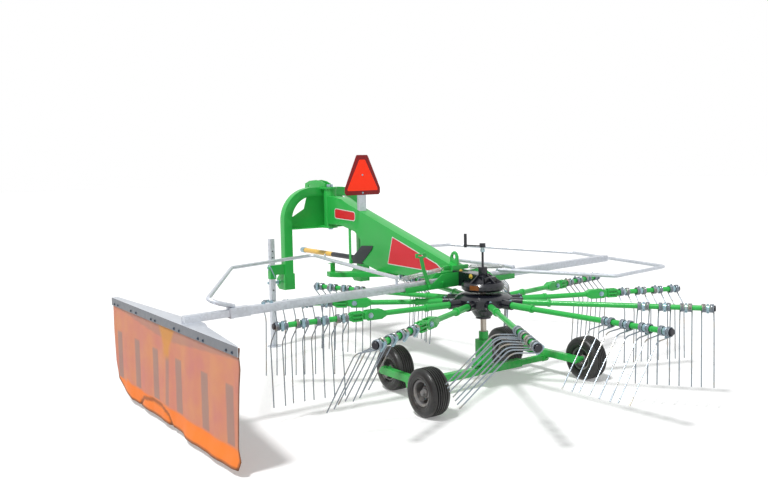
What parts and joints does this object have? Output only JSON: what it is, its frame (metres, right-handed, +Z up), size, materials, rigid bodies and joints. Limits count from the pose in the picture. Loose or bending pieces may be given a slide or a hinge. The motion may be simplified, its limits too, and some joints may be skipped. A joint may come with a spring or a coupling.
{
  "type": "rotary rake",
  "caption": "Mounted single-rotor rotary rake with folding tine arms, tandem wheels, swivelling headstock, folding guards and swath curtain.",
  "frame": {"origin": "on the ground at the middle of the bounding box's floor", "axes": "+X forward towards the tractor, +Y to the machine's left, +Z up"},
  "size_m": [4.95, 4.7622, 1.948],
  "materials": {
    "green_paint": "gloss",
    "black_paint": "satin",
    "bare_steel": "ground",
    "zinc_plate": "bright zinc",
    "galvanised_steel": "galvanised",
    "grey_rim_paint": "satin",
    "tyre_rubber": "matt",
    "yellow_plastic": "satin",
    "black_plastic": "satin",
    "red_reflector": "reflective",
    "orange_cloth": "coated cloth"
  },
  "bodies": {
    "frame": {"boom": "green_paint", "column": "bare_steel", "gear_cover": "black_paint", "gearbox": "black_paint", "height_crank": "black_paint", "sign_post": "galvanised_steel", "warning_triangle": "red_reflector", "shaft_cowl": "black_plastic", "shaft_hanger": "green_paint", "drive_shaft_tube": "black_plastic", "drive_shaft_guard": "yellow_plastic", "drive_shaft_yoke": "zinc_plate", "guard_rests": "green_paint", "latch_lever": "green_paint", "guard_bracket_left": "green_paint", "guard_bracket_right": "green_paint", "guard_spring_left": "zinc_plate", "guard_spring_right": "zinc_plate", "spring_lugs": "green_paint"},
    "headstock": {"headstock_frame": "green_paint", "top_link_ears": "green_paint", "swivel_pin": "zinc_plate", "lower_link_pins": "zinc_plate", "stand_sleeve": "green_paint"},
    "stand": {"stand_leg": "galvanised_steel", "stand_foot": "galvanised_steel"},
    "undercarriage": {"pedestal": "green_paint", "cross_axle": "green_paint", "bogie_beam_left": "green_paint", "bogie_beam_right": "green_paint"},
    "rotor": {"rotor_hub": "black_paint", "arm_stubs": "green_paint", "arm_fold_pins": "zinc_plate", "rigid_tine_arm_c": "green_paint", "rigid_tine_arm_d": "green_paint", "rigid_tine_arm_e": "green_paint", "rigid_tine_arm_j": "green_paint", "rigid_tine_arm_k": "green_paint"},
    "left_guard": {"left_guard_beam": "galvanised_steel", "left_guard_hoop": "galvanised_steel"},
    "right_guard": {"right_guard_beam": "galvanised_steel", "right_guard_hoop": "galvanised_steel"},
    "curtain": {"curtain_slide_tube": "galvanised_steel", "curtain_rail": "galvanised_steel", "swath_curtain": "orange_cloth"},
    "tine_arm_a": {"folding_tine_arm_a": "green_paint"},
    "tine_arm_b": {"folding_tine_arm_b": "green_paint"},
    "tine_arm_l": {"folding_tine_arm_l": "green_paint"},
    "tine_arm_f": {"folding_tine_arm_f": "green_paint"},
    "tine_arm_g": {"folding_tine_arm_g": "green_paint"},
    "tine_arm_h": {"folding_tine_arm_h": "green_paint"},
    "wheel_front_left": {"tyre_front_left": "tyre_rubber", "rim_front_left": "grey_rim_paint"},
    "wheel_rear_left": {"tyre_rear_left": "tyre_rubber", "rim_rear_left": "grey_rim_paint"},
    "wheel_front_right": {"tyre_front_right": "tyre_rubber", "rim_front_right": "grey_rim_paint"},
    "wheel_rear_right": {"tyre_rear_right": "tyre_rubber", "rim_rear_right": "grey_rim_paint"}
  },
  "joints": [
    {"name": "headstock_swivel", "type": "hinge", "parent": "frame", "child": "headstock", "pos_m": [1.835, -0.0688, 1.4], "axis": [0, 0, 1], "range_deg": [-15, 15]},
    {"name": "stand_slide", "type": "slide", "parent": "headstock", "child": "stand", "axis": [0, 0, 1], "range_m": [0, 0.4]},
    {"name": "height_slide", "type": "slide", "parent": "frame", "child": "undercarriage", "axis": [0, 0, 1], "range_m": [-0.12, 0.05]},
    {"name": "rotor_spin", "type": "hinge", "parent": "frame", "child": "rotor", "pos_m": [-0.645, -0.0688, 0.722], "axis": [0, 0, 1], "continuous": true},
    {"name": "left_guard_fold", "type": "hinge", "parent": "frame", "child": "left_guard", "pos_m": [-0.355, 0.1562, 0.87], "axis": [1, 0, 0], "range_deg": [0, 90]},
    {"name": "right_guard_fold", "type": "hinge", "parent": "frame", "child": "right_guard", "pos_m": [-0.355, -0.2938, 0.87], "axis": [-1, 0, 0], "range_deg": [0, 90]},
    {"name": "curtain_slide", "type": "slide", "parent": "left_guard", "child": "curtain", "axis": [0, 0.9998, -0.0192], "range_m": [-0.08, 0.35]},
    {"name": "arm_fold_a", "type": "hinge", "parent": "rotor", "child": "tine_arm_a", "pos_m": [-0.43186, -1.10715, 0.722], "axis": [-0.9796, -0.2011, 0], "range_deg": [0, 95]},
    {"name": "arm_fold_b", "type": "hinge", "parent": "rotor", "child": "tine_arm_b", "pos_m": [-1.02707, -1.05755, 0.722], "axis": [-0.9328, 0.3604, 0], "range_deg": [0, 95]},
    {"name": "arm_fold_l", "type": "hinge", "parent": "rotor", "child": "tine_arm_l", "pos_m": [0.09568, -0.82708, 0.722], "axis": [-0.7154, -0.6988, 0], "range_deg": [0, 95]},
    {"name": "arm_fold_f", "type": "hinge", "parent": "rotor", "child": "tine_arm_f", "pos_m": [-1.14205, 0.86744, 0.722], "axis": [0.8832, 0.4689, 0], "range_deg": [0, 95]},
    {"name": "arm_fold_g", "type": "hinge", "parent": "rotor", "child": "tine_arm_g", "pos_m": [-0.55697, 0.98754, 0.722], "axis": [0.9965, -0.083, 0], "range_deg": [0, 95]},
    {"name": "arm_fold_h", "type": "hinge", "parent": "rotor", "child": "tine_arm_h", "pos_m": [0.00015, 0.77226, 0.722], "axis": [0.7934, -0.6086, 0], "range_deg": [0, 95]},
    {"name": "wheel_spin_front_left", "type": "hinge", "parent": "undercarriage", "child": "wheel_front_left", "pos_m": [-0.225, 0.5352, 0.1825], "axis": [0, 1, 0], "continuous": true},
    {"name": "wheel_spin_rear_left", "type": "hinge", "parent": "undercarriage", "child": "wheel_rear_left", "pos_m": [-1.005, 0.7672, 0.1825], "axis": [0, 1, 0], "continuous": true},
    {"name": "wheel_spin_front_right", "type": "hinge", "parent": "undercarriage", "child": "wheel_front_right", "pos_m": [-0.225, -0.6728, 0.1825], "axis": [0, 1, 0], "continuous": true},
    {"name": "wheel_spin_rear_right", "type": "hinge", "parent": "undercarriage", "child": "wheel_rear_right", "pos_m": [-1.005, -0.9048, 0.1825], "axis": [0, 1, 0], "continuous": true}
  ]
}
